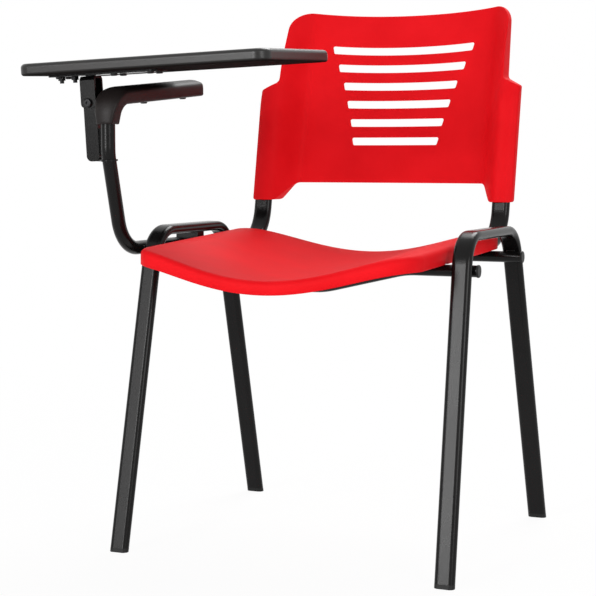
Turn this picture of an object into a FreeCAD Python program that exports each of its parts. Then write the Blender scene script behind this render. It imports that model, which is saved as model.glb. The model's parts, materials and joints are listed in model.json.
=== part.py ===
import FreeCAD, Part
import math
import os

from FreeCAD import Vector

# Stacking student chair: a moulded seat and back on a bent steel tube frame,
# with an armrest and a folding writing tablet on the chair's right side.
# Millimetres. +Z up, -Y is the front, +X is the chair's left side.
# The origin is on the floor, midway between the feet.

# Driving sizes, from which the chair is set out
side_frame_top = 460.0
seat_half_width = 206.0
foot_half_length = 227.5
oval_width = 28.0
bar_diameter = 16.0
arm_diameter = 20.0

# Fits and clearances
weld_gap = 0.05
plug_clearance = 0.15
socket_clearance = 0.15
pad_clearance = 0.2
screw_clearance = 0.25
running_clearance = 0.05
hole_bottom_gap = 0.5
cut_margin = 1.0

# Flat oval tube of the side frames and of the seat rails
oval_depth = oval_width / 2.0
tube_wall = 1.5

# Side frames: two legs and a level top bent from one tube
seat_side_gap = 28.0
frame_lean_in = 9.0
front_leg_slope = 0.2115
rear_leg_slope = -0.305
side_frame_bend = 47.0

# Feet and end plugs
foot_height = 6.0
foot_plug_depth = 22.0
cap_thickness = 3.0
cap_plug_depth = 12.0
cap_round = 1.35

# Crossbars: round tube, dropped in the middle to clear the dished seat
bar_wall = 1.5
bar_overhang = 18.0
front_bar_drop = 53.0
rear_bar_rise = 7.0
bar_low_half_width = 30.0
bar_slope_run = 120.0
bar_bend = 120.0
bar_cap_lip = 0.75

# Seat rails that bend up into the back uprights
rail_inset = 8.5
rail_toe_in = 0.082
rail_overhang = 14.5
rail_rear_run = 67.2
rail_bend = 60.0
upright_slope = 0.19
upright_rise = 220.7

# Seat shell
seat_front_overhang = 46.0
seat_front_bow = 26.5
seat_corner_radius = 45.0
seat_rear_widening = 8.5
seat_rear_gap = 17.2
seat_rear_length = 45.0
seat_wall = 3.5
seat_skirt_wall = 3.5
seat_skirt_centre = 19.4
seat_skirt_growth = 3.5
seat_rim_lift = 8.9
seat_rim_slope = 0.0445
seat_dish_depth = 45.1
seat_lowest_setback = 128.5
seat_curve_radius = 1667.0
seat_dish_inset = 16.0
seat_dish_setback = 213.5
seat_flare_radius = 1176.0
seat_dish_power = 1.85
seat_bar_gap = 1.6
seat_notch_gap = 1.0
boss_diameter = 16.0
boss_front_setback = 25.5
boss_rear_setback = 23.0

# Back shell
back_wall = 4.0
back_setback = 45.8
back_lean = 0.255
back_wrap = 29.7
back_wrap_growth = 0.035
back_wrap_inset = 16.5
back_edge_width = 22.0
back_edge_depth = 9.0
back_neck_inset = 28.0
back_neck_rise = 13.0
back_neck_radius = 8.0
back_shoulder_rise = 15.0
back_shoulder_radius = 4.0
back_top_rise = 117.0
back_top_inset = 3.5
back_top_dip = 19.5
back_top_radius = 1400.0
back_top_corner_radius = 28.0
back_bottom_rise = 27.0
back_bottom_inset = 20.0
back_bottom_radius = 12.0
socket_rise = 59.7
socket_inner_wall = 5.5
socket_outer_wall = 4.0
socket_front_wall = 5.0
socket_inner_radius = 8.0
socket_outer_radius = 4.0
socket_blend_inset = 5.5
socket_blend_width = 42.0
socket_step_above = 40.0
socket_step_length = 52.0
socket_step_share = 0.3
socket_fade_above = 208.0
socket_fade_length = 170.0
back_screw_rise = 69.0
slot_height = 12.0
slot_pitch = 29.8
slot_top_drop = 44.5
slot_half_lengths = (119.0, 107.0, 95.5, 86.5, 78.0, 72.0)
slot_corner = 2.5
slot_top_sag = 5.0
slot_end_slant = 0.27

# Arm tube and armrest pad
arm_wall = 1.5
arm_gap = 0.4
arm_drop = 32.0
arm_corner_reach = 45.5
arm_low_length = 196.5
arm_knee_reach = 37.0
arm_rise = 135.0
arm_neck = 79.4
arm_top_slope = 0.085
arm_top_length = 237.5
arm_low_bend = 55.0
arm_knee_bend = 60.0
arm_top_bend = 28.0
pad_half_width = 22.0
pad_below = 11.5
pad_side = 8.0
pad_crown = 17.5
pad_corner = 4.0
pad_shoulder = 8.0
pad_crown_radius = 40.0
pad_tip_half_width = 12.5
pad_front_drop = 38.4
pad_taper_rise = 5.6
pad_rear_overhang = 15.0
pad_screw_setbacks = (136.0, 15.0)
bracket_length = 20.0
bracket_setback = 14.0

# Tablet hinge, laid out about the lift pivot and leaned with the tablet
hinge_gap = 6.3
pivot_setback = 28.5
pivot_drop = 6.4
tablet_rise_inward = 0.034
tablet_rise_rear = 0.045
post_half_width = 10.5
post_depth = 15.0
post_sheet = 2.5
post_length = 83.0
post_corner = 8.0
gusset_thickness = 6.0
gusset_bottom = 8.0
gusset_height = 38.0
collar_rim = 2.0
link_side = 1.5
link_sheet = 3.0
link_gap = 1.0
link_below = 7.0
link_rise = 27.0
link_corner = 6.0
link_inner_corner = 0.5
lug_width = 3.0
lug_gap = 0.3
lug_below = 10.0
lug_above = 4.0
lug_depth = 7.0
pivot_washer_diameter = 16.0
pivot_washer_thickness = 0.8
swivel_washer_diameter = 14.5
swivel_washer_thickness = 1.0

# Tablet, measured from the pivot
board_outer_reach = 83.0
board_width = 387.0
board_front_reach = 64.0
board_depth = 227.0
board_thickness = 17.0
board_corner = 19.0
board_top_edge = 6.0
board_bottom_edge = 4.0
board_pocket_clearance = 1.0
strip_outer_reach = 61.0
strip_length = 176.0
strip_width = 40.0
strip_thickness = 3.0
strip_corner = 8.0
strip_screw_outer_inset = 17.0
strip_screw_inner_inset = 11.0
strip_screw_middle_share = 0.44
strip_screw_offset = 13.0
strip_screw_depth = 11.0
stud_reaches = (48.0, 26.0)
stud_below = 9.0

# Screws, bolts and nuts
screw_diameter = 5.0
screw_head_diameter = 10.0
screw_head_height = 3.0
bolt_diameter = 6.0
bolt_head_diameter = 11.0
bolt_head_height = 4.0
nut_across_flats = 10.0
nut_height = 5.0
hinge_bolt_diameter = 8.0
hinge_nut_across_flats = 13.0
hinge_nut_height = 7.0
hinge_bolt_end = 1.5
pivot_head_diameter = 13.0
pivot_head_height = 4.0
swivel_head_diameter = 16.0
swivel_head_height = 5.0
head_round_share = 0.5
hex_socket_across_flats = 4.0
hex_socket_depth = 2.0

# How many points shape the seat's and the back's smooth faces
seat_counts = (41, 33)
back_counts = (65, 41)
face_margin = 20.0

X_AXIS = Vector(1, 0, 0)
Y_AXIS = Vector(0, 1, 0)
Z_AXIS = Vector(0, 0, 1)
FAR = 900.0

screw_hole = screw_diameter + 2.0 * screw_clearance
bolt_hole = bolt_diameter + 2.0 * screw_clearance
hinge_hole = hinge_bolt_diameter + 2.0 * running_clearance


def unit(vector):
    return Vector(vector).normalize()


def smooth(value):
    """An eased step from 0 to 1."""
    value = min(max(value, 0.0), 1.0)
    return value * value * (3.0 - 2.0 * value)


def spread(low, high, count):
    return [low + (high - low) * step / (count - 1) for step in range(count)]


# Wires, tubes and simple solids
def bent_path(points, radii):
    """Straight runs joined by tangent arcs, one radius for each inner point."""
    edges = []
    start = points[0]
    for index, radius in enumerate(radii, start=1):
        corner = points[index]
        back = unit(points[index - 1] - corner)
        onward = unit(points[index + 1] - corner)
        half_turn = (math.pi - back.getAngle(onward)) / 2.0
        reach = radius * math.tan(half_turn)
        entry = corner + back * reach
        leave = corner + onward * reach
        middle = corner + unit(back + onward) * (radius / math.cos(half_turn) - radius)
        edges.append(Part.LineSegment(start, entry).toShape())
        edges.append(Part.Arc(entry, middle, leave).toShape())
        start = leave
    edges.append(Part.LineSegment(start, points[-1]).toShape())
    return Part.Wire(edges)


def stadium(centre, along, wide, width, depth):
    """A flat oval outline, width across and depth thick, square to along."""
    wide = unit(wide)
    thick = unit(along.cross(wide))
    side = wide * ((width - depth) / 2.0)
    edge = thick * (depth / 2.0)
    tip = wide * (width / 2.0)
    top = Part.LineSegment(centre - side + edge, centre + side + edge).toShape()
    end = Part.Arc(centre + side + edge, centre + tip, centre + side - edge).toShape()
    low = Part.LineSegment(centre + side - edge, centre - side - edge).toShape()
    start = Part.Arc(centre - side - edge, centre - tip, centre - side + edge).toShape()
    return Part.Wire([top, end, low, start])


def ring(centre, along, diameter):
    return Part.Wire([Part.Circle(centre, along, diameter / 2.0).toShape()])


def sweep(path, outline, square_to):
    """A solid swept along a flat path, whose plane is square to the given direction."""
    shell = Part.BRepOffsetAPI.MakePipeShell(path)
    shell.setBiNormalMode(square_to)
    shell.add(outline)
    shell.build()
    shell.makeSolid()
    return shell.shape()


def prism(outline, push):
    return Part.Face(outline).extrude(push)


def oval_bar(points, radii, wide, shrink):
    """A flat oval bar along bent runs, its outline drawn in by shrink all round."""
    along = unit(points[1] - points[0])
    outline = stadium(points[0], along, wide, oval_width - 2.0 * shrink, oval_depth - 2.0 * shrink)
    return sweep(bent_path(points, radii), outline, wide)


def oval_rod(start, along, wide, length, shrink):
    outline = stadium(start, along, wide, oval_width - 2.0 * shrink, oval_depth - 2.0 * shrink)
    return prism(outline, along * length)


def round_bar(points, radii, square_to, diameter):
    along = unit(points[1] - points[0])
    return sweep(bent_path(points, radii), ring(points[0], along, diameter), square_to)


def slab(low, high):
    """The space between two heights."""
    return Part.makeBox(2.0 * FAR, 2.0 * FAR, high - low, Vector(-FAR, -FAR, low))


def rod(start, along, diameter, length):
    return Part.makeCylinder(diameter / 2.0, length, start, along)


def drill(start, along, diameter, length):
    """A round cut that runs a margin past both its ends."""
    return rod(start - along * cut_margin, along, diameter, length + 2.0 * cut_margin)


def block(low, high):
    return Part.makeBox(high[0] - low[0], high[1] - low[1], high[2] - low[2], Vector(*low))


def rounded_outline(corners, place):
    """A closed outline of (u, v, radius) corners. place turns two flat coordinates into a point."""
    count = len(corners)
    turns = []
    for index, (u, v, radius) in enumerate(corners):
        corner = Vector(u, v, 0)
        back = unit(Vector(*corners[index - 1][:2], 0) - corner)
        onward = unit(Vector(*corners[(index + 1) % count][:2], 0) - corner)
        half_turn = (math.pi - back.getAngle(onward)) / 2.0
        reach = radius * math.tan(half_turn)
        middle = corner + unit(back + onward) * (radius / math.cos(half_turn) - radius)
        turns.append((corner + back * reach, middle, corner + onward * reach))
    edges = []
    for index in range(count):
        entry, middle, leave = (place(point.x, point.y) for point in turns[index])
        following = turns[(index + 1) % count][0]
        edges.append(Part.Arc(entry, middle, leave).toShape())
        edges.append(Part.LineSegment(leave, place(following.x, following.y)).toShape())
    return Part.Wire(edges)


def rounded_rectangle(left, low, right, high, radius, place):
    corners = [(left, low), (right, low), (right, high), (left, high)]
    return rounded_outline([(u, v, radius) for u, v in corners], place)


def end_edges(shape, along):
    """The edges round a shape's far end along a direction."""
    reach = max(vertex.Point.dot(along) for vertex in shape.Vertexes)
    edges = []
    for edge in shape.Edges:
        if all(reach - vertex.Point.dot(along) < weld_gap for vertex in edge.Vertexes):
            edges.append(edge)
    return edges


def grid_face(place, across, along):
    """A smooth face through place(u, v) for each u across and v along."""
    surface = Part.BSplineSurface()
    surface.interpolate([[place(u, v) for v in along] for u in across])
    return surface.toShape()


def hexagon(centre, along, across_flats, length):
    """A hexagonal bar for a nut or a socket."""
    turn = FreeCAD.Rotation(Z_AXIS, along)
    radius = across_flats / math.sqrt(3.0)
    corners = []
    for step in range(7):
        angle = math.radians(60.0 * step)
        corner = Vector(radius * math.cos(angle), radius * math.sin(angle), 0)
        corners.append(centre + turn.multVec(corner))
    return prism(Part.makePolygon(corners), along * length)


def screw(seat, along, shank_diameter, length, head_diameter, head_height):
    """A screw whose head rests at seat and whose shank runs on along the given direction."""
    head = rod(seat - along * head_height, along, head_diameter, head_height)
    head = head.makeFillet(head_height * head_round_share, end_edges(head, along * -1.0))
    shank = rod(seat, along, shank_diameter, length)
    drive = hexagon(seat - along * head_height, along, hex_socket_across_flats, hex_socket_depth)
    return head.fuse(shank).cut(drive).removeSplitter()


def nut(seat, along, across_flats, height, bore):
    return hexagon(seat, along, across_flats, height).cut(drill(seat, along, bore, height))


def washer(seat, along, outer, bore, thickness):
    return rod(seat, along, outer, thickness).cut(drill(seat, along, bore, thickness))


def mirrored(shape):
    return shape.mirror(Vector(0, 0, 0), X_AXIS)


def both_sides(shape):
    return [shape, mirrored(shape)]


# Side frames and feet
top_half_width = seat_half_width + seat_side_gap
foot_half_width = top_half_width + frame_lean_in
frame_centre_top = side_frame_top - oval_depth / 2.0
frame_lean = -frame_lean_in / frame_centre_top


def front_leg_point(height):
    """A point on the left front leg's centre line at a height."""
    return Vector(foot_half_width + frame_lean * height, front_leg_slope * height - foot_half_length, height)


def rear_leg_point(height):
    return Vector(foot_half_width + frame_lean * height, rear_leg_slope * height + foot_half_length, height)


below_floor = -2.0 * oval_depth
frame_points = [
    front_leg_point(below_floor),
    front_leg_point(frame_centre_top),
    rear_leg_point(frame_centre_top),
    rear_leg_point(below_floor),
]
frame_wide = unit(Vector(1, 0, -frame_lean))
frame_bends = [side_frame_bend, side_frame_bend]
frame_outer = oval_bar(frame_points, frame_bends, frame_wide, 0.0)
frame_inner = oval_bar(frame_points, frame_bends, frame_wide, tube_wall)
frame_plug = oval_bar(frame_points, frame_bends, frame_wide, tube_wall + plug_clearance)
side_frame = frame_outer.cut(frame_inner).common(slab(foot_height, FAR))
feet = frame_outer.common(slab(0.0, foot_height))
feet = feet.fuse(frame_plug.common(slab(foot_height / 2.0, foot_plug_depth))).removeSplitter()
front_foot = [solid for solid in feet.Solids if solid.CenterOfMass.y < 0][0]
rear_foot = [solid for solid in feet.Solids if solid.CenterOfMass.y > 0][0]

# Where the crossbars stand, tucked inside the side frames
front_bar_height = side_frame_top - front_bar_drop
rear_bar_height = front_bar_height + rear_bar_rise
bar_half_length = top_half_width + bar_overhang
bar_reach = (oval_depth + bar_diameter) / 2.0 + weld_gap
front_bar_y = front_leg_point(front_bar_height).y + bar_reach * math.hypot(1.0, front_leg_slope)
rear_bar_y = rear_leg_point(rear_bar_height).y - bar_reach * math.hypot(1.0, rear_leg_slope)

# Where the seat rails and uprights stand, resting on the crossbars
rail_slope = rear_bar_rise / (rear_bar_y - front_bar_y)
upright_x = seat_half_width - rail_inset
rail_front_y = front_bar_y - rail_overhang
rail_corner_y = rear_bar_y + rail_rear_run


def rail_point(y):
    """A point on the left rail's centre line."""
    x = upright_x + rail_toe_in * (y - rail_corner_y)
    return Vector(x, y, front_bar_height + bar_reach + rail_slope * (y - front_bar_y))


rail_corner = rail_point(rail_corner_y)
upright_top = rail_corner.z + upright_rise


def upright_point(z):
    """A point on the left upright's centre line."""
    return Vector(upright_x, rail_corner.y + upright_slope * (z - rail_corner.z), z)


# The seat's plan and its faces
seat_front_y = -foot_half_length - seat_front_overhang
seat_rear_start = rail_corner_y - seat_rear_gap - seat_rear_length
seat_lowest_y = seat_front_y + seat_lowest_setback
seat_dish_y = seat_front_y + seat_dish_setback
seat_dish_half_width = seat_half_width - seat_dish_inset
rim_at_front_bar = rail_point(front_bar_y).z + oval_depth / 2.0 + seat_rim_lift


def seat_rim(y):
    return rim_at_front_bar + seat_rim_slope * (y - front_bar_y)


def seat_centre(y):
    rise = (y - seat_lowest_y) ** 2 / (2.0 * seat_curve_radius)
    return seat_rim(seat_lowest_y) - seat_dish_depth + rise


def seat_top(x, y):
    half = seat_dish_half_width + (y - seat_dish_y) ** 2 / (2.0 * seat_flare_radius)
    across = min(abs(x) / half, 1.0)
    dish = (1.0 - across * across) ** seat_dish_power
    return seat_rim(y) - (seat_rim(y) - seat_centre(y)) * dish


def seat_low(x, y):
    return seat_top(x, y) - seat_skirt_centre - seat_skirt_growth * (x / seat_half_width) ** 2


# Crossbars
bar_bore = bar_diameter - 2.0 * bar_wall
bar_middle_height = seat_centre(front_bar_y) - seat_wall - seat_bar_gap - bar_diameter / 2.0
bar_drop = front_bar_height - bar_middle_height
bar_level_end = bar_low_half_width + bar_slope_run


def bar_solid(y, height, diameter):
    points = [
        Vector(-bar_half_length, y, height),
        Vector(-bar_level_end, y, height),
        Vector(-bar_low_half_width, y, height - bar_drop),
        Vector(bar_low_half_width, y, height - bar_drop),
        Vector(bar_level_end, y, height),
        Vector(bar_half_length, y, height),
    ]
    return round_bar(points, [bar_bend] * 4, Y_AXIS, diameter)


def bar_tube(y, height):
    return bar_solid(y, height, bar_diameter).cut(bar_solid(y, height, bar_bore))


def bar_caps(y, height):
    """The end plugs of a crossbar: a round flange and a plug inside the tube."""
    end = Vector(bar_half_length, y, height)
    flange = rod(end, X_AXIS, bar_diameter + 2.0 * bar_cap_lip, cap_thickness)
    flange = flange.makeFillet(cap_round, end_edges(flange, X_AXIS))
    plug_diameter = bar_bore - 2.0 * plug_clearance
    plug = rod(end - X_AXIS * cap_plug_depth, X_AXIS, plug_diameter, cap_plug_depth)
    return both_sides(flange.fuse(plug).removeSplitter())


bar_places = [(front_bar_y, front_bar_height), (rear_bar_y, rear_bar_height)]
front_bar, rear_bar = (bar_tube(y, height) for y, height in bar_places)
crossbar_caps = [cap for y, height in bar_places for cap in bar_caps(y, height)]

# Seat rails and uprights
rail_along = unit(rail_corner - rail_point(rail_front_y))
upright_along = unit(upright_point(upright_top) - rail_corner)
rail_wide = unit(rail_along.cross(upright_along))


def rail_solid(front_y, shrink):
    points = [rail_point(front_y), rail_corner, upright_point(upright_top)]
    return oval_bar(points, [rail_bend], rail_wide, shrink)


def oval_cap(end, outward, wide):
    """An end plug for an open oval tube."""
    flange = oval_rod(end, outward, wide, cap_thickness, 0.0)
    plug_start = end - outward * cap_plug_depth
    plug = oval_rod(plug_start, outward, wide, cap_plug_depth, tube_wall + plug_clearance)
    return flange.fuse(plug).removeSplitter()


rail = rail_solid(rail_front_y, 0.0).cut(rail_solid(rail_front_y, tube_wall))
rail_caps = both_sides(oval_cap(rail_point(rail_front_y), rail_along * -1.0, rail_wide))


# Seat shell: a dished top with a skirt, notched round the tubes
def seat_column(inset):
    """The seat's plan, drawn in by inset: a bowed front, sides that widen and a half-oval rear."""
    half = seat_half_width - inset
    rear_half = half + seat_rear_widening
    front = seat_front_y + inset
    corner_y = front + seat_front_bow
    left = Vector(half, corner_y, 0)
    right = Vector(-half, corner_y, 0)
    rear_left = Vector(rear_half, seat_rear_start, 0)
    rear_right = Vector(-rear_half, seat_rear_start, 0)
    oval = Part.Ellipse(Vector(0, seat_rear_start, 0), rear_half, seat_rear_length - inset)
    edges = [
        Part.Arc(right, Vector(0, front, 0), left).toShape(),
        Part.LineSegment(left, rear_left).toShape(),
        oval.toShape(0.0, math.pi),
        Part.LineSegment(rear_right, right).toShape(),
    ]
    body = prism(Part.Wire(edges), Z_AXIS * FAR)
    corners = []
    for edge in body.Edges:
        if edge.BoundBox.ZLength > FAR / 2.0 and edge.CenterOfMass.y < seat_lowest_y:
            corners.append(edge)
    return body.makeFillet(seat_corner_radius - inset, corners)


def seat_face(height):
    half = seat_half_width + seat_rear_widening + face_margin
    rear = seat_rear_start + seat_rear_length + face_margin
    across = spread(-half, half, seat_counts[0])
    along = spread(seat_front_y - face_margin, rear, seat_counts[1])
    return grid_face(lambda x, y: Vector(x, y, height(x, y)), across, along)


def under(face):
    return face.extrude(Z_AXIS * -FAR)


top_face = seat_face(seat_top)
inner_face = top_face.translated(Z_AXIS * -seat_wall)
seat_body = seat_column(0.0).common(under(top_face)).cut(under(seat_face(seat_low)))
seat_body = seat_body.cut(seat_column(seat_skirt_wall).common(under(inner_face)))
for solid in both_sides(rail_solid(rail_front_y - 2.0 * oval_depth, -seat_notch_gap)):
    seat_body = seat_body.cut(solid)
for y, height in bar_places:
    seat_body = seat_body.cut(bar_solid(y, height, bar_diameter + 2.0 * seat_notch_gap))

# Bosses under the seat, and the screws that come up to them through the rails
seat_screws = []
for y in (front_bar_y + boss_front_setback, rear_bar_y - boss_rear_setback):
    spot = rail_point(y)
    boss_foot = spot.z + oval_depth / 2.0 + rail_slope * boss_diameter / 2.0 + weld_gap
    boss_top = seat_top(spot.x, y) - seat_wall / 2.0
    head_seat = spot.z - oval_depth / 2.0 - rail_slope * screw_head_diameter / 2.0 - weld_gap
    start = Vector(spot.x, y, head_seat)
    screw_length = boss_top - head_seat - screw_clearance
    boss = rod(Vector(spot.x, y, boss_foot), Z_AXIS, boss_diameter, boss_top - boss_foot)
    hole = rod(start, Z_AXIS, screw_hole, boss_top - head_seat)
    fixing = screw(start, Z_AXIS, screw_diameter, screw_length, screw_head_diameter, screw_head_height)
    for boss_side, hole_side in zip(both_sides(boss), both_sides(hole)):
        seat_body = seat_body.fuse(boss_side).cut(hole_side)
    rail = rail.cut(hole)
    seat_screws += both_sides(fixing)
seat_body = seat_body.removeSplitter()

# Back shell: a wrapped panel with slots, and sockets over the uprights
socket_bottom = rail_corner.z + socket_rise
back_half_width = upright_x + oval_width / 2.0 + socket_outer_wall
back_neck_half_width = back_half_width - back_neck_inset
back_top_half_width = back_neck_half_width - back_top_inset
back_wrap_half_width = back_half_width - back_wrap_inset
socket_inner_x = upright_x - oval_width / 2.0 - socket_inner_wall
back_bottom_half_width = socket_inner_x - back_bottom_inset
back_bottom = socket_bottom + back_bottom_rise
back_shoulder_height = upright_top + back_shoulder_rise
back_neck_height = back_shoulder_height + back_neck_rise
back_top_corner = back_neck_height + back_top_rise
back_top_centre = back_top_corner - back_top_dip
slot_top_height = back_top_centre - slot_top_drop


def panel_y(x, z):
    rise = z - socket_bottom
    wrap = back_wrap + back_wrap_growth * rise
    flat = upright_point(socket_bottom).y + back_setback + back_lean * rise
    return flat - wrap * (x / back_wrap_half_width) ** 4


def back_front(x, z):
    """The front surface: the panel, brought forward over the uprights and eased off at its edge."""
    panel = panel_y(x, z)
    column = upright_point(z).y - oval_depth / 2.0 - socket_clearance - socket_front_wall
    across = smooth((abs(x) - upright_x + socket_blend_inset) / socket_blend_width + 1.0)
    step = smooth((upright_top + socket_step_above - z) / socket_step_length)
    fade = smooth((upright_top + socket_fade_above - z) / socket_fade_length)
    swell = socket_step_share * step + (1.0 - socket_step_share) * fade
    edge = max(abs(x) - back_half_width + back_edge_width, 0.0) / back_edge_width
    return panel - max(panel - column, 0.0) * across * swell + back_edge_depth * edge ** 2


def back_rear(x, z):
    return panel_y(x, z) + back_wall


def behind(depth):
    """The space behind the face y = depth(x, z)."""
    half = back_half_width + face_margin
    across = spread(-half, half, back_counts[0])
    along = spread(socket_bottom - face_margin, back_top_corner + face_margin, back_counts[1])
    return grid_face(lambda x, z: Vector(x, depth(x, z), z), across, along).extrude(Y_AXIS * FAR)


def back_place(x, z):
    return Vector(x, -FAR, z)


def slot_solid(step, half_length):
    """A slot through the panel. Its long edges sag, less so in the lower slots, and its ends slant."""
    middle = slot_top_height - step * slot_pitch
    sag = slot_top_sag * (1.0 - step / len(slot_half_lengths)) ** 2
    edges = []
    corners = []
    for rise in (slot_height / 2.0, -slot_height / 2.0):
        half = half_length + slot_end_slant * rise
        left = back_place(-half, middle + rise)
        right = back_place(half, middle + rise)
        edges.append(Part.Arc(left, back_place(0.0, middle + rise - sag), right).toShape())
        corners.append((left, right))
    edges += [Part.LineSegment(high, low).toShape() for high, low in zip(*corners)]
    body = prism(Part.Wire(Part.sortEdges(edges)[0]), Y_AXIS * 2.0 * FAR)
    ends = [edge for edge in body.Edges if edge.BoundBox.YLength > FAR]
    return body.makeFillet(slot_corner, ends)


half_back = [
    (back_bottom_half_width, back_bottom, back_bottom_radius),
    (socket_inner_x, socket_bottom, socket_inner_radius),
    (back_half_width, socket_bottom, socket_outer_radius),
    (back_half_width, back_shoulder_height, back_shoulder_radius),
    (back_neck_half_width, back_neck_height, back_neck_radius),
    (back_top_half_width, back_top_corner, back_top_corner_radius),
]
other_half = [(-x, z, radius) for x, z, radius in reversed(half_back)]
back_middle = (0.0, back_top_centre, back_top_radius)
back_outline = rounded_outline(half_back + [back_middle] + other_half, back_place)
back_blank = prism(back_outline, Y_AXIS * 2.0 * FAR)
for step, half_length in enumerate(slot_half_lengths):
    back_blank = back_blank.cut(slot_solid(step, half_length))
back_body = back_blank.common(behind(back_front)).cut(behind(back_rear))
socket_start = upright_point(socket_bottom - oval_depth)
socket_length = (upright_top - socket_start.z) / upright_along.z + socket_clearance
socket_bore = oval_rod(socket_start, upright_along, rail_wide, socket_length, -socket_clearance)
for solid in both_sides(socket_bore):
    back_body = back_body.cut(solid)

# Screws that hold the back shell on the uprights
back_screw_height = socket_bottom + back_screw_rise
back_screw_y = back_rear(upright_x, back_screw_height) - screw_head_height
back_screw_seat = Vector(upright_x, back_screw_y, back_screw_height)
back_screw_tip = upright_point(back_screw_height) + Y_AXIS * (oval_depth / 2.0 - 2.0 * tube_wall)
back_screw_length = back_screw_y - back_screw_tip.y
back_hole = rod(back_screw_tip, Y_AXIS, screw_hole, FAR)
recess = rod(back_screw_seat, Y_AXIS, screw_head_diameter + 2.0 * screw_clearance, FAR)
for solid in both_sides(back_hole.fuse(recess)):
    back_body = back_body.cut(solid)
back_body = back_body.removeSplitter()
rail = rail.cut(rod(back_screw_tip, Y_AXIS, screw_hole, oval_depth))
back_screw = screw(back_screw_seat, Y_AXIS * -1.0, screw_diameter, back_screw_length, screw_head_diameter,
                   screw_head_height)
back_screws = both_sides(back_screw)

# Arm tube: along the side frame, up, and back under the armrest pad
arm_low_height = side_frame_top - arm_drop
arm_leg = front_leg_point(arm_low_height)
arm_x = -(arm_leg.x + oval_width / 2.0 + arm_gap + arm_diameter / 2.0)
arm_low_corner_y = arm_leg.y - arm_corner_reach
arm_rear_y = arm_low_corner_y + arm_low_length
arm_knee_y = arm_low_corner_y - arm_knee_reach
arm_knee_height = arm_low_height + arm_rise
arm_top_corner_height = arm_knee_height + arm_neck
arm_top_end_y = arm_knee_y + arm_top_length


def arm_point(y, z):
    return Vector(arm_x, y, z)


def arm_top_point(y):
    """A point on the centre line of the arm tube's top run."""
    return arm_point(y, arm_top_corner_height + arm_top_slope * (y - arm_knee_y))


def arm_solid(diameter):
    points = [
        arm_point(arm_rear_y, arm_low_height),
        arm_point(arm_low_corner_y, arm_low_height),
        arm_point(arm_knee_y, arm_knee_height),
        arm_top_point(arm_knee_y),
        arm_top_point(arm_top_end_y),
    ]
    return round_bar(points, [arm_low_bend, arm_knee_bend, arm_top_bend], X_AXIS, diameter)


arm_bore = arm_diameter - 2.0 * arm_wall
arm_tube = arm_solid(arm_diameter).cut(arm_solid(arm_bore))
arm_weld = arm_solid(arm_diameter + 2.0 * weld_gap)
arm_end = arm_point(arm_rear_y, arm_low_height)
arm_plug = rod(arm_end - Y_AXIS * cap_plug_depth, Y_AXIS, arm_bore - 2.0 * plug_clearance, cap_plug_depth)
arm_plug = arm_plug.fuse(rod(arm_end, Y_AXIS, arm_diameter, cap_thickness)).removeSplitter()

# Armrest pad, swept along the top of the arm tube and narrowed to its front tip
pad_front_height = arm_top_corner_height - pad_front_drop
pad_taper_height = arm_top_corner_height + pad_taper_rise
pad_section = [
    (-pad_half_width, -pad_below, pad_corner),
    (pad_half_width, -pad_below, pad_corner),
    (pad_half_width, pad_side, pad_shoulder),
    (0.0, pad_crown, pad_crown_radius),
    (-pad_half_width, pad_side, pad_shoulder),
]


def pad_place(across, outward):
    return Vector(arm_x + across, arm_knee_y - outward, arm_knee_height)


pad_path = [
    arm_point(arm_knee_y, arm_knee_height),
    arm_top_point(arm_knee_y),
    arm_top_point(arm_top_end_y + pad_rear_overhang),
]
pad = sweep(bent_path(pad_path, [arm_top_bend]), rounded_outline(pad_section, pad_place), X_AXIS)
pad = pad.cut(slab(0.0, pad_front_height))
pad_taper = [
    (pad_tip_half_width, 0.0),
    (pad_tip_half_width, pad_front_height),
    (pad_half_width, pad_taper_height),
    (FAR, pad_taper_height),
    (FAR, 0.0),
    (pad_tip_half_width, 0.0),
]
for side in (1.0, -1.0):
    wedge = Part.makePolygon([Vector(arm_x + side * x, -FAR, z) for x, z in pad_taper])
    pad = pad.cut(prism(wedge, Y_AXIS * 2.0 * FAR))
pad = pad.cut(arm_solid(arm_diameter + 2.0 * pad_clearance))

pad_up = unit(Vector(0, -arm_top_slope, 1))
pad_screw_length = pad_below + arm_diameter / 2.0
pad_screws = []
for setback in pad_screw_setbacks:
    head_seat = arm_top_point(arm_top_end_y - setback) - pad_up * (pad_below + weld_gap)
    pad_screws.append(screw(head_seat, pad_up, screw_diameter, pad_screw_length, screw_head_diameter,
                            screw_head_height))
    hole = drill(head_seat, pad_up, screw_hole, pad_screw_length)
    pad = pad.cut(hole)
    arm_tube = arm_tube.cut(hole)

# Bracket that carries the rear of the arm tube on the right side frame
bracket_y = arm_rear_y - bracket_setback
bracket_low = arm_low_height + arm_diameter / 4.0
frame_underside = side_frame_top - oval_depth
bracket_outer = arm_x - arm_diameter / 4.0
bracket_inner = -(top_half_width - (oval_width - oval_depth) / 2.0)
bracket = block((bracket_outer, bracket_y - bracket_length / 2.0, bracket_low),
                (bracket_inner, bracket_y + bracket_length / 2.0, frame_underside - weld_gap))
bracket = bracket.cut(arm_weld)
bracket_bolt_seat = Vector(-top_half_width, bracket_y, bracket_low - weld_gap)
bracket_bolt_length = frame_centre_top - bracket_bolt_seat.z
bracket_bolt = screw(bracket_bolt_seat, Z_AXIS, bolt_diameter, bracket_bolt_length, bolt_head_diameter,
                     bolt_head_height)
bracket_hole = drill(bracket_bolt_seat, Z_AXIS, bolt_hole, bracket_bolt_length)
bracket = bracket.cut(bracket_hole)

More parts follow.
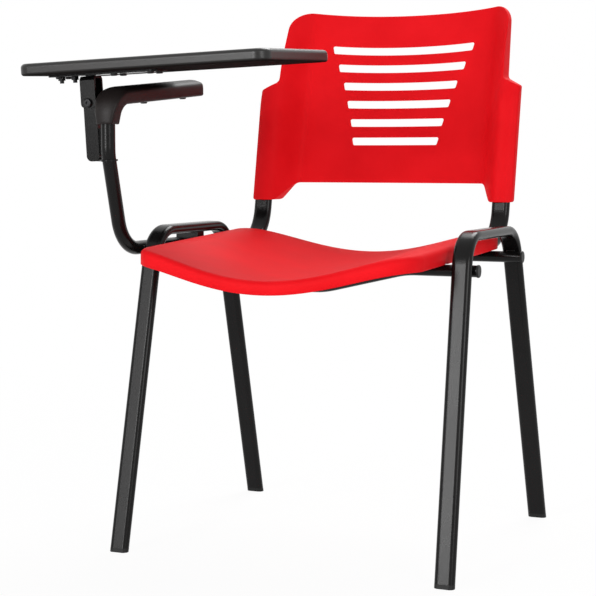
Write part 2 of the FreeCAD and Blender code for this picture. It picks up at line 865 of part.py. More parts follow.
# Bolt that ties the arm tube to the front leg
leg_bolt_seat = arm_point(arm_leg.y, arm_low_height) - X_AXIS * (arm_diameter / 2.0 + weld_gap)
leg_bolt_length = arm_diameter + arm_gap + oval_width / 2.0
leg_bolt = screw(leg_bolt_seat, X_AXIS, bolt_diameter, leg_bolt_length, bolt_head_diameter, bolt_head_height)
leg_bolt_hole = drill(leg_bolt_seat, X_AXIS, bolt_hole, leg_bolt_length)
arm_tube = arm_tube.cut(leg_bolt_hole)
right_frame = mirrored(side_frame).cut(leg_bolt_hole).cut(bracket_hole)

# Hinge and tablet, drawn level about the lift pivot and then leaned
lug_inside = post_half_width + lug_gap
pivot_reach = pad_half_width + hinge_gap + lug_inside + lug_width
pivot = Vector(arm_x - pivot_reach, arm_knee_y + pivot_setback, arm_top_corner_height - pivot_drop)
lean_turn = FreeCAD.Rotation(Z_AXIS, unit(Vector(-tablet_rise_inward, -tablet_rise_rear, 1.0)))
lean = FreeCAD.Placement(pivot, lean_turn)


def leaned(shape):
    moved = shape.copy()
    moved.Placement = lean.multiply(moved.Placement)
    return moved


# Hinge post: a channel with a rounded head, tied to the arm tube
half_depth = post_depth / 2.0
head_radius = post_half_width - weld_gap
post_corners = [
    (-post_half_width, -post_length, post_corner),
    (post_half_width, -post_length, post_corner),
    (post_half_width, post_half_width, head_radius),
    (-post_half_width, post_half_width, head_radius),
]
post_outline = rounded_outline(post_corners, lambda x, z: Vector(x, -half_depth, z))
post_hollow = block(
    (post_sheet - post_half_width, post_sheet - half_depth, post_sheet - post_length),
    (post_half_width - post_sheet, half_depth + cut_margin, -post_half_width - post_sheet),
)
post = prism(post_outline, Y_AXIS * post_depth).cut(post_hollow)
post = post.cut(drill(Vector(0, -half_depth, 0), Y_AXIS, hinge_hole, post_depth))


def arm_upright_y(z):
    """Where the arm tube's leaning upright stands at a height."""
    return arm_low_corner_y - arm_knee_reach * (min(z, arm_knee_height) - arm_low_height) / arm_rise


def tie_bar(height, width, thickness):
    """A bar from the post's inner face to the middle of the arm tube, at a height in the hinge's frame."""
    chair_height = lean.multVec(Vector(0, 0, height)).z
    goal = lean.inverse().multVec(arm_point(arm_upright_y(chair_height), chair_height))
    start = Vector(post_half_width - post_sheet, 0, 0)
    run = Vector(goal.x - start.x, goal.y - start.y, 0)
    bar = block((0, -width / 2.0, 0), (run.Length, width / 2.0, thickness))
    bar.Placement = FreeCAD.Placement(start + Z_AXIS * height, FreeCAD.Rotation(X_AXIS, run))
    return bar, Vector(goal.x, goal.y, height)


gusset = tie_bar(gusset_bottom - post_length, gusset_thickness, gusset_height)[0]
collar_bar, collar_middle = tie_bar(-post_length, post_depth, post_sheet)
collar = rod(collar_middle, Z_AXIS, arm_diameter + 2.0 * collar_rim, post_sheet)
post = leaned(post.fuse([gusset, collar_bar, collar])).cut(arm_weld).removeSplitter()

# Link: a fork over the post with a lug that stops on the post's inner face
link_half_width = post_half_width + link_side
link_top = post_half_width + link_rise
fork_inside = half_depth + link_gap
fork_outside = fork_inside + link_sheet


def fork_solid(half, top, corner):
    outline = rounded_rectangle(-half, -FAR, half, top, corner, lambda y, z: Vector(-link_half_width, y, z))
    return prism(outline, X_AXIS * 2.0 * link_half_width)


cheek_corners = [
    (-link_half_width, -link_below, link_corner),
    (link_half_width, -link_below, link_corner),
    (link_half_width, link_top + cut_margin, link_inner_corner),
    (-link_half_width, link_top + cut_margin, link_inner_corner),
]
cheek_outline = rounded_outline(cheek_corners, lambda x, z: Vector(x, -FAR, z))
fork = fork_solid(fork_outside, link_top, link_corner)
fork = fork.cut(fork_solid(fork_inside, link_top - link_sheet, link_inner_corner))
fork = fork.common(prism(cheek_outline, Y_AXIS * 2.0 * FAR))
lug = block((lug_inside, -fork_outside, -lug_below),
            (lug_inside + lug_width, lug_depth - half_depth, lug_above))
fork = fork.fuse(lug)
fork = fork.cut(drill(Vector(0, -fork_outside, 0), Y_AXIS, hinge_hole, 2.0 * fork_outside))
fork = fork.cut(drill(Vector(0, 0, 0), Z_AXIS, hinge_hole, link_top))
link = leaned(fork.removeSplitter())

pivot_head_seat = Vector(0, -fork_outside - weld_gap, 0)
pivot_nut_seat = Vector(0, fork_outside + weld_gap, 0)
pivot_bolt_length = pivot_nut_seat.y - pivot_head_seat.y + hinge_nut_height + hinge_bolt_end
pivot_bolt = leaned(screw(pivot_head_seat, Y_AXIS, hinge_bolt_diameter, pivot_bolt_length,
                          pivot_head_diameter, pivot_head_height))
pivot_nut = leaned(nut(pivot_nut_seat, Y_AXIS, hinge_nut_across_flats, hinge_nut_height, hinge_hole))
washer_slack = (link_gap - pivot_washer_thickness) / 2.0
pivot_washers = []
for start in (washer_slack - fork_inside, half_depth + washer_slack):
    ring_seat = Vector(0, start, 0)
    pivot_washers.append(leaned(washer(ring_seat, Y_AXIS, pivot_washer_diameter, hinge_hole,
                                       pivot_washer_thickness)))

# Swivel: a bolt down through the strip and the link, with a washer above and below the link
strip_low = link_top + swivel_washer_thickness + 2.0 * running_clearance
strip_high = strip_low + strip_thickness
web_low = link_top - link_sheet
swivel_nut_top = web_low - swivel_washer_thickness - 2.0 * running_clearance
swivel_head_seat = Vector(0, 0, strip_high + weld_gap)
swivel_length = swivel_head_seat.z - swivel_nut_top + hinge_nut_height + hinge_bolt_end
swivel_bolt = leaned(screw(swivel_head_seat, Z_AXIS * -1.0, hinge_bolt_diameter, swivel_length,
                           swivel_head_diameter, swivel_head_height))
swivel_nut = leaned(nut(Vector(0, 0, swivel_nut_top), Z_AXIS * -1.0, hinge_nut_across_flats,
                        hinge_nut_height, hinge_hole))
swivel_washers = []
for start in (link_top + running_clearance, web_low - running_clearance - swivel_washer_thickness):
    ring_seat = Vector(0, 0, start)
    swivel_washers.append(leaned(washer(ring_seat, Z_AXIS, swivel_washer_diameter, hinge_hole,
                                        swivel_washer_thickness)))

# Tablet: a board on a steel strip
board_low = strip_high + weld_gap
strip_inner_reach = strip_length - strip_outer_reach
strip_half = strip_width / 2.0
strip_outline = rounded_rectangle(-strip_outer_reach, -strip_half, strip_inner_reach, strip_half,
                                  strip_corner, lambda x, y: Vector(x, y, strip_low))
strip = prism(strip_outline, Z_AXIS * strip_thickness)
strip = strip.cut(drill(Vector(0, 0, strip_low), Z_AXIS, hinge_hole, strip_thickness))
board_outline = rounded_rectangle(-board_outer_reach, -board_front_reach, board_width - board_outer_reach,
                                  board_depth - board_front_reach, board_corner,
                                  lambda x, y: Vector(x, y, board_low))
board = prism(board_outline, Z_AXIS * board_thickness)
board = board.makeFillet(board_top_edge, end_edges(board, Z_AXIS))
board = board.makeFillet(board_bottom_edge, end_edges(board, Z_AXIS * -1.0))
pocket = rod(Vector(0, 0, board_low), Z_AXIS, swivel_head_diameter + 2.0 * board_pocket_clearance,
             swivel_head_height + 2.0 * running_clearance)
board = board.cut(pocket)

# Screws and studs that hold the board on the strip
fixing_depth = strip_thickness + strip_screw_depth
strip_screw_inner = strip_inner_reach - strip_screw_inner_inset
strip_screw_places = (strip_screw_outer_inset - strip_outer_reach,
                      strip_screw_inner * strip_screw_middle_share, strip_screw_inner)
tablet_screws = []
for x in strip_screw_places:
    for y in (-strip_screw_offset, strip_screw_offset):
        head_seat = Vector(x, y, strip_low - weld_gap)
        tablet_screws.append(leaned(screw(head_seat, Z_AXIS, screw_diameter, fixing_depth,
                                          screw_head_diameter, screw_head_height)))
        hole = rod(head_seat, Z_AXIS, screw_hole, fixing_depth + hole_bottom_gap)
        strip = strip.cut(hole)
        board = board.cut(hole)
tablet_studs = []
stud_nuts = []
for reach in stud_reaches:
    stud_foot = Vector(-reach, 0, strip_low - stud_below)
    tablet_studs.append(leaned(rod(stud_foot, Z_AXIS, bolt_diameter, stud_below + fixing_depth)))
    hole = rod(stud_foot, Z_AXIS, bolt_hole, stud_below + fixing_depth + hole_bottom_gap)
    strip = strip.cut(hole)
    board = board.cut(hole)
    nut_seat = Vector(-reach, 0, strip_low - weld_gap)
    stud_nuts.append(leaned(nut(nut_seat, Z_AXIS * -1.0, nut_across_flats, nut_height,
                                bolt_diameter + 2.0 * running_clearance)))

# Write each piece
pieces = {
    "side_frame_left": [side_frame],
    "side_frame_right": [right_frame],
    "front_feet": both_sides(front_foot),
    "rear_feet": both_sides(rear_foot),
    "front_crossbar": [front_bar],
    "rear_crossbar": [rear_bar],
    "crossbar_end_caps": crossbar_caps,
    "seat_rail_left": [rail],
    "seat_rail_right": [mirrored(rail)],
    "rail_end_caps": rail_caps,
    "seat_shell": [seat_body],
    "seat_screws": seat_screws,
    "back_shell": [back_body],
    "back_screws": back_screws,
    "arm_tube": [arm_tube],
    "arm_tube_end_plug": [arm_plug],
    "arm_bracket": [bracket],
    "arm_bolts": [leg_bolt, bracket_bolt],
    "armrest_pad": [pad],
    "armrest_screws": pad_screws,
    "hinge_post": [post],
    "hinge_link": [link],
    "lift_pivot_bolt": [pivot_bolt],
    "lift_pivot_nut": [pivot_nut],
    "lift_pivot_washers": pivot_washers,
    "swivel_bolt": [swivel_bolt],
    "swivel_nut": [swivel_nut],
    "swivel_washers": swivel_washers,
    "tablet_board": [board],
    "tablet_strip": [strip],
    "tablet_screws": tablet_screws,
    "tablet_studs": tablet_studs,
    "tablet_stud_nuts": stud_nuts,
}
leaned_pieces = ("tablet_board", "tablet_strip")
os.makedirs("parts", exist_ok=True)
for name, shapes in pieces.items():
    if name in leaned_pieces:
        shapes = [leaned(shape) for shape in shapes]
    solids = [solid for shape in shapes for solid in shape.Solids]
    shape = solids[0] if len(solids) == 1 else Part.makeCompound(solids)
    shape.exportStep("parts/" + name + ".step")
    print(name, len(solids), shape.isValid(), round(shape.Volume))
print("lift axis", lean_turn.multVec(Y_AXIS * -1.0), "swivel axis", lean_turn.multVec(Z_AXIS), "pivot", pivot)
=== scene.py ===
import bmesh
import bpy
import json
import math
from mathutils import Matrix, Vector
from mathutils.geometry import delaunay_2d_cdt


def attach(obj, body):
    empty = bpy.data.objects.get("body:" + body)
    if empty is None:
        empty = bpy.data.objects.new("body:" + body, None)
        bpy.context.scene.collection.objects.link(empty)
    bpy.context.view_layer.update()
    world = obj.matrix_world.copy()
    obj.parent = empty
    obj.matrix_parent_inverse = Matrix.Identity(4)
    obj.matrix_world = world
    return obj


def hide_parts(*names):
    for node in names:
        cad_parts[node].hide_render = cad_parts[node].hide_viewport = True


# Student chair: a red moulded seat and back on a black tube frame, with a folding writing tablet.
# Metres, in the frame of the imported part: +Z up, -Y the front, +X the chair's left side.

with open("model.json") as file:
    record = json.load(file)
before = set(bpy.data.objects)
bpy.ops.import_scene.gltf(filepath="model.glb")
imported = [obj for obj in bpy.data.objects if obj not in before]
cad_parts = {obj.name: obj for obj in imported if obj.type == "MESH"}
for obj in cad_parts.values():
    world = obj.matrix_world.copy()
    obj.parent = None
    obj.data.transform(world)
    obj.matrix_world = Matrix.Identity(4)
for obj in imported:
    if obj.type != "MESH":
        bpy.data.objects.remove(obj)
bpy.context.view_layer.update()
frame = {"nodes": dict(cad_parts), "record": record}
scene = bpy.context.scene

# Driving sizes, from which the mouldings are set out
seat_half_width = 0.206
foot_half_length = 0.2275
oval_half_width = 0.014
bar_radius = 0.008

# Tubes of the frame that the mouldings and the welds meet, with the crossbars as their y and z
front_bar = (-0.12604, 0.407)
rear_bar = (0.0855, 0.414)
leg_front_slope = 0.2115
leg_rear_slope = -0.305
leg_foot_x = 0.243
leg_lean_in = 0.01987
upright_inset = 0.0085
upright_x = seat_half_width - upright_inset
upright_foot_y = 0.1591
upright_foot_z = 0.465
upright_slope = 0.19
rail_corner_y = 0.1527
rail_toe_in = 0.082
rail_slope = 0.0331
rail_top_at_bar = 0.42905

# Seat shell
seat_front_overhang = 0.046
seat_front_y = -foot_half_length - seat_front_overhang
seat_front_bow = 0.0265
seat_corner_radius = 0.045
seat_rear_widening = 0.0085
seat_rear_half_width = seat_half_width + seat_rear_widening
seat_rear_gap = 0.0172
seat_rear_length = 0.045
seat_rear_start = rail_corner_y - seat_rear_gap - seat_rear_length
seat_wall = 0.0035
seat_skirt_centre = 0.0194
seat_skirt_growth = 0.0035
seat_rim_front = 0.4314
seat_rim_slope = 0.0445
seat_lowest = 0.392
seat_lowest_setback = 0.1285
seat_lowest_y = seat_front_y + seat_lowest_setback
seat_curve = 0.3
seat_dish_inset = 0.016
seat_dish_half_width = seat_half_width - seat_dish_inset
seat_dish_setback = 0.2135
seat_dish_middle_y = seat_front_y + seat_dish_setback
seat_dish_flare = 0.425
seat_dish_power = 1.85
seat_edge_radius = 0.0085
seat_lip_radius = 0.0012
seat_notch_gap = 0.001
seat_grid = 0.006
boss_radius = 0.008
boss_round = 0.0008
boss_rows = (-0.10054, 0.0625)
boss_sides = 40

# Back shell
socket_outer_wall = 0.004
back_half_width = upright_x + oval_half_width + socket_outer_wall
back_wall = 0.004
back_y = 0.2098
back_lean = 0.255
back_wrap = 0.0297
back_wrap_growth = 0.035
back_wrap_inset = 0.0165
back_wrap_half_width = back_half_width - back_wrap_inset
back_wrap_power = 4
back_edge_width = 0.022
back_edge_depth = 0.009
back_neck_inset = 0.028
back_neck_half_width = back_half_width - back_neck_inset
back_neck_height = 0.680
back_neck_radius = 0.008
back_top_inset = 0.0035
back_top_half_width = back_neck_half_width - back_top_inset
back_top_centre = 0.7775
back_top_corner = 0.797
back_top_radius = 1.4
back_top_corner_radius = 0.028
back_shoulder_height = 0.667
back_shoulder_radius = 0.004
back_bottom = 0.518
back_bottom_half_width = 0.158
back_bottom_radius = 0.012
socket_bottom = 0.491
socket_inner_x = 0.178
socket_inner_radius = 0.008
socket_outer_radius = 0.004
socket_front = 0.01215
socket_blend_start = 0.150
socket_blend_end = 0.192
socket_step_low = 0.640
socket_step_high = 0.692
socket_step_share = 0.3
socket_fade_low = 0.690
socket_fade_high = 0.860
slot_height = 0.012
slot_pitch = 0.0298
slot_top_height = 0.733
slot_half_lengths = (0.119, 0.107, 0.0955, 0.0865, 0.078, 0.072)
slot_top_sag = 0.005
slot_end_slant = 0.27
slot_corner = 0.0025
recess_height = 0.560
recess_radius = 0.00525
recess_depth = 0.003
back_edge_radius = 0.0018
back_grid = 0.005

# Armrest pad
pad_voxel = 0.0014
pad_soften_rounds = 22

# Weld beads
weld_radius = 0.0015
weld_length = 0.014
weld_ripple = 0.12
weld_ripple_pitch = 0.0022
weld_end_taper = 0.96
weld_end_power = 4
weld_rings = 42
weld_sides = 10

# How finely curves and rounded edges are drawn
line_step = 0.004
arc_step = 0.0012
fewest_arc_steps = 4
most_arc_steps = 100
edge_steps = 6
inside_only = 1
same_spot = 1e-7
outline_margin = 0.00005


def smooth(value):
    """An eased step from 0 to 1."""
    value = min(max(value, 0.0), 1.0)
    return value * value * (3.0 - 2.0 * value)


# Flat outlines: closed lists of points with the material on their left
def arc_points(centre, radius, start, turn):
    """Points along an arc from a start angle through a turn, both ends included."""
    steps = round(abs(turn) * radius / arc_step)
    steps = min(max(steps, fewest_arc_steps), most_arc_steps)
    points = []
    for step in range(steps + 1):
        angle = start + turn * step / steps
        points.append(centre + Vector((math.cos(angle), math.sin(angle))) * radius)
    return points


def with_long_runs_divided(points):
    divided = []
    for index, point in enumerate(points):
        run = points[(index + 1) % len(points)] - point
        pieces = math.ceil(run.length / line_step)
        divided += [point + run * (step / pieces) for step in range(pieces)]
    return divided


def rounded_loop(corners):
    """Points round a closed outline of (x, y, radius) corners."""
    points = []
    count = len(corners)
    for index, (x, y, radius) in enumerate(corners):
        corner = Vector((x, y))
        back = (Vector(corners[index - 1][:2]) - corner).normalized()
        onward = (Vector(corners[(index + 1) % count][:2]) - corner).normalized()
        half_turn = (math.pi - back.angle(onward)) / 2.0
        centre = corner + (back + onward).normalized() * (radius / math.cos(half_turn))
        entry = corner + back * (radius * math.tan(half_turn)) - centre
        turns_left = back.x * onward.y < back.y * onward.x
        turn = 2.0 * half_turn if turns_left else -2.0 * half_turn
        points += arc_points(centre, radius, math.atan2(entry.y, entry.x), turn)
    return with_long_runs_divided(points)


def hole_loop(x, y, radius):
    return arc_points(Vector((x, y)), radius, 0.0, -2.0 * math.pi)[:-1]


def inset_loop(loop, distance):
    """The loop moved into its material by a distance."""
    moved = []
    count = len(loop)
    for index, point in enumerate(loop):
        along = (loop[(index + 1) % count] - loop[index - 1]).normalized()
        moved.append(point + Vector((-along.y, along.x)) * distance)
    return moved


def loop_edges(loops):
    edges = []
    start = 0
    for loop in loops:
        count = len(loop)
        edges += [(start + step, start + (step + 1) % count) for step in range(count)]
        start += count
    return edges


def grid_points(points, edges, grid):
    """An even grid of points inside the loops, row by row between the borders."""
    low = min(point.y for point in points)
    high = max(point.y for point in points)
    rows = int((high - low) / grid)
    inside = []
    for row in range(1, rows):
        level = low + (high - low) * row / rows
        crossings = []
        for first, second in edges:
            a = points[first]
            b = points[second]
            if (a.y > level) != (b.y > level):
                crossings.append(a.x + (b.x - a.x) * (level - a.y) / (b.y - a.y))
        crossings.sort()
        for left, right in zip(crossings[::2], crossings[1::2]):
            columns = int((right - left) / grid)
            for column in range(1, columns):
                inside.append(Vector((left + (right - left) * column / columns, level)))
    return inside


def fill_loops(loops, grid):
    """Points and triangles of the material between the loops, and where each loop point went.

    The first loop is the outline and the others are holes, so a triangle on one hole alone is left out.
    """
    border = [point for loop in loops for point in loop]
    edges = loop_edges(loops)
    points = border + grid_points(border, edges, grid)
    spots, _, triangles, sources = delaunay_2d_cdt(points, edges, [], inside_only, same_spot)[:4]
    place = {}
    for spot, origins in enumerate(sources):
        for origin in origins:
            place[origin] = spot
    owner = {}
    start = 0
    for index, loop in enumerate(loops):
        for step in range(len(loop)):
            owner[place[start + step]] = index
        start += len(loop)
    kept = []
    for triangle in triangles:
        owners = {owner.get(spot, 0) for spot in triangle}
        if len(owners) > 1 or 0 in owners:
            kept.append(triangle)
    return spots, kept, place


def rounding(radius):
    """Steps of a rounded edge, from the wall inwards: how far in and how far down from the face."""
    steps = []
    for step in range(edge_steps):
        angle = math.pi / 2.0 * step / edge_steps
        steps.append((radius * (1.0 - math.cos(angle)), radius * (1.0 - math.sin(angle))))
    return steps


class Shell:
    """A closed mesh built from rows of points."""

    def __init__(self):
        self.points = []
        self.faces = []

    def row(self, points):
        start = len(self.points)
        self.points += points
        return list(range(start, start + len(points)))

    def join(self, first, second):
        """A band of faces between two closed rows."""
        count = len(first)
        for step in range(count):
            onward = (step + 1) % count
            self.faces.append((first[step], first[onward], second[onward], second[step]))

    def tube(self, rows):
        """A closed tube through rows of points, with a flat face at each end."""
        rings = [self.row(row) for row in rows]
        for first, second in zip(rings, rings[1:]):
            self.join(first, second)
        self.faces.append(tuple(reversed(rings[0])))
        self.faces.append(tuple(rings[-1]))

    def make(self, name):
        mesh = bpy.data.meshes.new(name)
        mesh.from_pydata([tuple(point) for point in self.points], [], self.faces)
        body = bmesh.new()
        body.from_mesh(mesh)
        bmesh.ops.recalc_face_normals(body, faces=body.faces)
        for face in body.faces:
            face.smooth = True
        body.to_mesh(mesh)
        body.free()
        piece = bpy.data.objects.new(name, mesh)
        scene.collection.objects.link(piece)
        return piece


# Seat shell
def rail_x(y):
    return upright_x + rail_toe_in * (y - rail_corner_y)


def rail_top(y):
    return rail_top_at_bar + rail_slope * (y - front_bar[0])


def seat_rim(y):
    return seat_rim_front + seat_rim_slope * (y - seat_front_y)


def seat_top(x, y):
    centre = seat_lowest + seat_curve * (y - seat_lowest_y) ** 2
    half = seat_dish_half_width + seat_dish_flare * (y - seat_dish_middle_y) ** 2
    across = min(abs(x) / half, 1.0)
    return seat_rim(y) - (seat_rim(y) - centre) * (1.0 - across * across) ** seat_dish_power


def seat_low(x, y):
    """The skirt's lower edge, lifted over the crossbars at the sides and over the rails at the rear."""
    skirt = seat_skirt_centre + seat_skirt_growth * (x / seat_half_width) ** 2
    low = seat_top(x, y) - skirt
    reach = bar_radius + seat_notch_gap
    for bar_y, bar_z in (front_bar, rear_bar):
        if abs(y - bar_y) < reach:
            low = max(low, bar_z + math.sqrt(reach ** 2 - (y - bar_y) ** 2))
    if y > seat_rear_start and abs(abs(x) - rail_x(y)) < oval_half_width + seat_notch_gap:
        low = max(low, rail_top(y) + seat_notch_gap)
    return low


def seat_loop():
    """The seat's plan: a bowed front, rounded corners, sides that widen and a half-oval rear."""
    bow_radius = (seat_half_width ** 2 + seat_front_bow ** 2) / (2.0 * seat_front_bow)
    bow_centre = Vector((0.0, seat_front_y + bow_radius))
    side_start = Vector((seat_half_width, seat_front_y + seat_front_bow))
    side = (Vector((seat_rear_half_width, seat_rear_start)) - side_start).normalized()
    lean = math.atan2(side.x, side.y)
    # A corner's centre, seen from the bow's, lies the corner radius inside the side and inside the bow
    reach = side_start + Vector((-side.y, side.x)) * seat_corner_radius - bow_centre
    past = reach.dot(side)
    slide = -past - math.sqrt(past ** 2 - reach.length_squared + (bow_radius - seat_corner_radius) ** 2)
    corner = reach + side * slide
    front = -math.pi / 2.0
    swing = math.atan2(corner.x, -corner.y)
    corner_turn = math.pi / 2.0 - swing - lean
    corner += bow_centre
    other_corner = Vector((-corner.x, corner.y))
    points = arc_points(bow_centre, bow_radius, front - swing, 2.0 * swing)[:-1]
    points += arc_points(corner, seat_corner_radius, front + swing, corner_turn)
    rear_steps = round(math.pi * seat_rear_half_width / line_step)
    for step in range(rear_steps + 1):
        angle = math.pi * step / rear_steps
        points.append(Vector((seat_rear_half_width * math.cos(angle),
                              seat_rear_start + seat_rear_length * math.sin(angle))))
    points += arc_points(other_corner, seat_corner_radius, math.pi + lean, corner_turn)[:-1]
    return with_long_runs_divided(points)


def circle_row(x, y, z, radius):
    row = []
    for step in range(boss_sides):
        angle = 2.0 * math.pi * step / boss_sides
        row.append(Vector((x + radius * math.cos(angle), y + radius * math.sin(angle), z)))
    return row


def add_bosses(shell):
    """The screw bosses that stand on the rails under the seat."""
    for y in boss_rows:
        for x in (-rail_x(y), rail_x(y)):
            foot = rail_top(y) + rail_slope * boss_radius
            rows = [
                (foot, boss_radius - boss_round),
                (foot + boss_round, boss_radius),
                (seat_top(x, y) - seat_wall / 2.0, boss_radius),
            ]
            shell.tube([circle_row(x, y, z, radius) for z, radius in rows])


def make_seat():
    shell = Shell()
    outline = inset_loop(seat_loop(), outline_margin)
    inner = inset_loop(outline, seat_edge_radius)
    spots, triangles, place = fill_loops([inner], seat_grid)
    border = [place[step] for step in range(len(inner))]
    top = shell.row([Vector((x, y, seat_top(x, y))) for x, y in spots])
    under = shell.row([Vector((x, y, seat_top(x, y) - seat_wall)) for x, y in spots])
    for first, second, third in triangles:
        shell.faces.append((top[first], top[second], top[third]))
        shell.faces.append((under[third], under[second], under[first]))

    def below_top(inset, drop):
        loop = inset_loop(outline, inset)
        return shell.row([Vector((x, y, seat_top(x, y) - drop)) for x, y in loop])

    def above_skirt(inset, rise):
        loop = inset_loop(outline, inset)
        return shell.row([Vector((x, y, seat_low(x, y) + rise)) for x, y in loop])

    rows = [
        [under[spot] for spot in border],
        below_top(seat_wall, seat_edge_radius),
        above_skirt(seat_wall, seat_lip_radius),
        above_skirt(seat_wall - seat_lip_radius, 0.0),
        above_skirt(seat_lip_radius, 0.0),
        above_skirt(0.0, seat_lip_radius),
    ]
    rows += [below_top(inward, down) for inward, down in rounding(seat_edge_radius)]
    rows.append([top[spot] for spot in border])
    for first, second in zip(rows, rows[1:]):
        shell.join(first, second)
    add_bosses(shell)
    return shell.make("seat_moulding")


# Back shell
def panel_y(x, z):
    rise = z - socket_bottom
    wrap = back_wrap + back_wrap_growth * rise
    return back_y + back_lean * rise - wrap * (abs(x) / back_wrap_half_width) ** back_wrap_power


def back_front(x, z):
    """The front surface: the panel, brought forward over the uprights and eased off at its edge."""
    panel = panel_y(x, z)
    column = upright_foot_y + upright_slope * (z - upright_foot_z) - socket_front
    across = smooth((abs(x) - socket_blend_start) / (socket_blend_end - socket_blend_start))
    step = smooth((socket_step_high - z) / (socket_step_high - socket_step_low))
    fade = smooth((socket_fade_high - z) / (socket_fade_high - socket_fade_low))
    swell = socket_step_share * step + (1.0 - socket_step_share) * fade
    edge = max(abs(x) - back_half_width + back_edge_width, 0.0) / back_edge_width
    return panel - max(panel - column, 0.0) * across * swell + back_edge_depth * edge ** 2


def back_rear(x, z):
    return panel_y(x, z) + back_wall


def back_outline():
    half = [
        (back_bottom_half_width, back_bottom, back_bottom_radius),
        (socket_inner_x, socket_bottom, socket_inner_radius),
        (back_half_width, socket_bottom, socket_outer_radius),
        (back_half_width, back_shoulder_height, back_shoulder_radius),
        (back_neck_half_width, back_neck_height, back_neck_radius),
        (back_top_half_width, back_top_corner, back_top_corner_radius),
    ]
    other_half = [(-x, z, radius) for x, z, radius in reversed(half)]
    return rounded_loop(half + [(0.0, back_top_centre, back_top_radius)] + other_half)


def slot_loop(step, half_length):
    """A slot with slanted ends, whose long edges sag, less so in the lower slots."""
    middle = slot_top_height - step * slot_pitch
    sag = slot_top_sag * (1.0 - step / len(slot_half_lengths)) ** 2
    half_height = slot_height / 2.0
    slant = slot_end_slant * half_height
    corners = [
        (slant - half_length, middle - half_height, slot_corner),
        (-half_length - slant, middle + half_height, slot_corner),
        (half_length + slant, middle + half_height, slot_corner),
        (half_length - slant, middle - half_height, slot_corner),
    ]
    return [Vector((x, z - sag * (1.0 - (x / half_length) ** 2))) for x, z in rounded_loop(corners)]


def add_recess(shell, loop, rim):
    """The flat-bottomed recess of a back screw, sunk from its rim in the rear face."""
    floor_y = back_rear(upright_x, recess_height) - recess_depth
    floor = shell.row([Vector((x, floor_y, z)) for x, z in loop])
    shell.join(floor, rim)
    shell.faces.append(tuple(floor))


def make_back():
    shell = Shell()
    loops = [inset_loop(back_outline(), outline_margin)]
    loops += [slot_loop(step, half_length) for step, half_length in enumerate(slot_half_lengths)]
    recesses = [hole_loop(x, recess_height, recess_radius) for x in (-upright_x, upright_x)]
    inner = [inset_loop(loop, back_edge_radius) for loop in loops]
    spots, triangles, front_place = fill_loops(inner, back_grid)
    front = shell.row([Vector((x, back_front(x, z), z)) for x, z in spots])
    shell.faces += [tuple(front[spot] for spot in triangle) for triangle in triangles]
    spots, triangles, rear_place = fill_loops(inner + recesses, back_grid)
    rear = shell.row([Vector((x, back_rear(x, z), z)) for x, z in spots])
    shell.faces += [tuple(rear[spot] for spot in reversed(triangle)) for triangle in triangles]
    start = 0
    for loop in loops:
        border = range(start, start + len(loop))
        start += len(loop)
        rows = [[rear[rear_place[spot]] for spot in border]]
        for inward, down in reversed(rounding(back_edge_radius)):
            ring = inset_loop(loop, inward)
            rows.append(shell.row([Vector((x, back_rear(x, z) - down, z)) for x, z in ring]))
        for inward, down in rounding(back_edge_radius):
            ring = inset_loop(loop, inward)
            rows.append(shell.row([Vector((x, back_front(x, z) + down, z)) for x, z in ring]))
        rows.append([front[front_place[spot]] for spot in border])
        for first, second in zip(rows, rows[1:]):
            shell.join(first, second)
    for loop in recesses:
        rim = [rear[rear_place[spot]] for spot in range(start, start + len(loop))]
        start += len(loop)
        add_recess(shell, loop, rim)
    return shell.make("back_moulding")


# Armrest pad: the swept solid with its edges softened
def make_pad():
    source = frame["nodes"]["armrest_pad"]
    piece = bpy.data.objects.new("pad_moulding", source.data.copy())
    scene.collection.objects.link(piece)
    remesh = piece.modifiers.new("even", "REMESH")
    remesh.mode = "VOXEL"
    remesh.voxel_size = pad_voxel
    remesh.use_smooth_shade = True
    soften = piece.modifiers.new("soften", "SMOOTH")
    soften.iterations = pad_soften_rounds
    return piece


# Weld beads in the grooves between the tubes
def add_bead(shell, middle):
    """A rippled bead along X."""
    rows = []
    for ring in range(weld_rings + 1):
        share = 2.0 * ring / weld_rings - 1.0
        x = middle.x + share * weld_length / 2.0
        ripple = 1.0 + weld_ripple * math.sin(2.0 * math.pi * x / weld_ripple_pitch)
        radius = weld_radius * ripple * math.sqrt(1.0 - weld_end_taper * abs(share) ** weld_end_power)
        row = []
        for side in range(weld_sides):
            angle = 2.0 * math.pi * side / weld_sides
            row.append(Vector((x, middle.y + radius * math.cos(angle), middle.z + radius * math.sin(angle))))
        rows.append(row)
    shell.tube(rows)


def groove_points(contact, along, away):
    """Where beads nestle on both sides of a bar that touches a flat face."""
    offset = 2.0 * math.sqrt(bar_radius * weld_radius)
    return [contact + along * side * offset + away * weld_radius for side in (-1.0, 1.0)]


def make_welds():
    shell = Shell()
    for (bar_y, bar_z), slope, facing in (
        (front_bar, leg_front_slope, 1.0),
        (rear_bar, leg_rear_slope, -1.0),
    ):
        leg_along = Vector((0.0, slope, 1.0)).normalized()
        leg_away = Vector((0.0, facing, -facing * slope)).normalized()
        leg_x = leg_foot_x - leg_lean_in * bar_z
        on_rail = Vector((0.0, bar_y, bar_z + bar_radius))
        for side in (-1.0, 1.0):
            on_leg = Vector((side * leg_x, bar_y, bar_z)) - leg_away * bar_radius
            on_rail.x = side * rail_x(bar_y)
            for spot in groove_points(on_leg, leg_along, leg_away):
                add_bead(shell, spot)
            for spot in groove_points(on_rail, Vector((0.0, 1.0, 0.0)), Vector((0.0, 0.0, -1.0))):
                add_bead(shell, spot)
    return shell.make("weld_beads")


